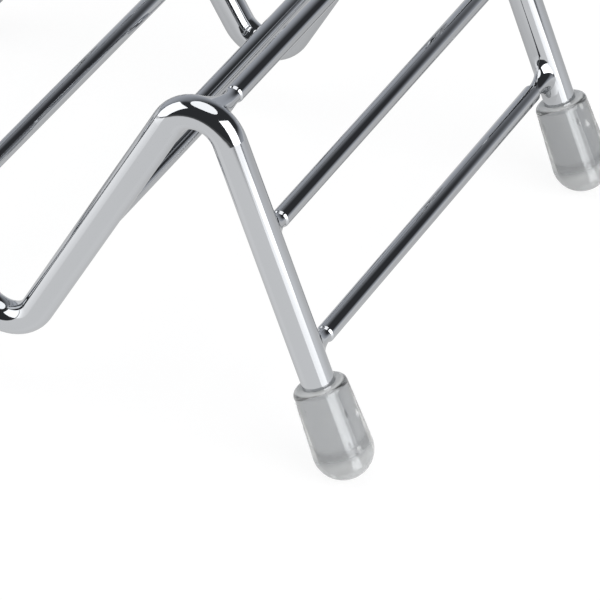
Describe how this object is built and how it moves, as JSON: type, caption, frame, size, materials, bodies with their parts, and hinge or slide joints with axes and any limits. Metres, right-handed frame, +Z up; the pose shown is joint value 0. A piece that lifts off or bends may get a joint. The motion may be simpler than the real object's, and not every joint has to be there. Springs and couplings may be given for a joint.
{
  "type": "chrome wire valet stand",
  "caption": "Free-standing chrome wire stand: bent side frames joined by welded cross rods hold a V-shaped trough between their crests, on splayed legs with clear push-on caps.",
  "frame": {"origin": "middle of the footprint, on the floor", "axes": "+X across the stand along the cross rods from the left to the right side frame, +Y from the front legs to the rear legs, +Z up"},
  "size_m": [0.1528, 0.1896, 0.0927],
  "materials": {
    "chrome_wire": "bright chrome plate over drawn steel wire",
    "clear_cap": "clear soft PVC, glossy, lightly bubbled"
  },
  "bodies": {
    "root": {"left_side_frame": "chrome_wire", "right_side_frame": "chrome_wire", "front_leg_low_rod": "chrome_wire", "front_leg_mid_rod": "chrome_wire", "front_crest_rod": "chrome_wire", "front_wall_high_rod": "chrome_wire", "front_wall_low_rod": "chrome_wire", "rear_leg_low_rod": "chrome_wire", "rear_leg_mid_rod": "chrome_wire", "rear_crest_rod": "chrome_wire", "rear_wall_high_rod": "chrome_wire", "rear_wall_low_rod": "chrome_wire", "front_left_foot": "clear_cap", "rear_left_foot": "clear_cap", "front_right_foot": "clear_cap", "rear_right_foot": "clear_cap"}
  },
  "joints": []
}
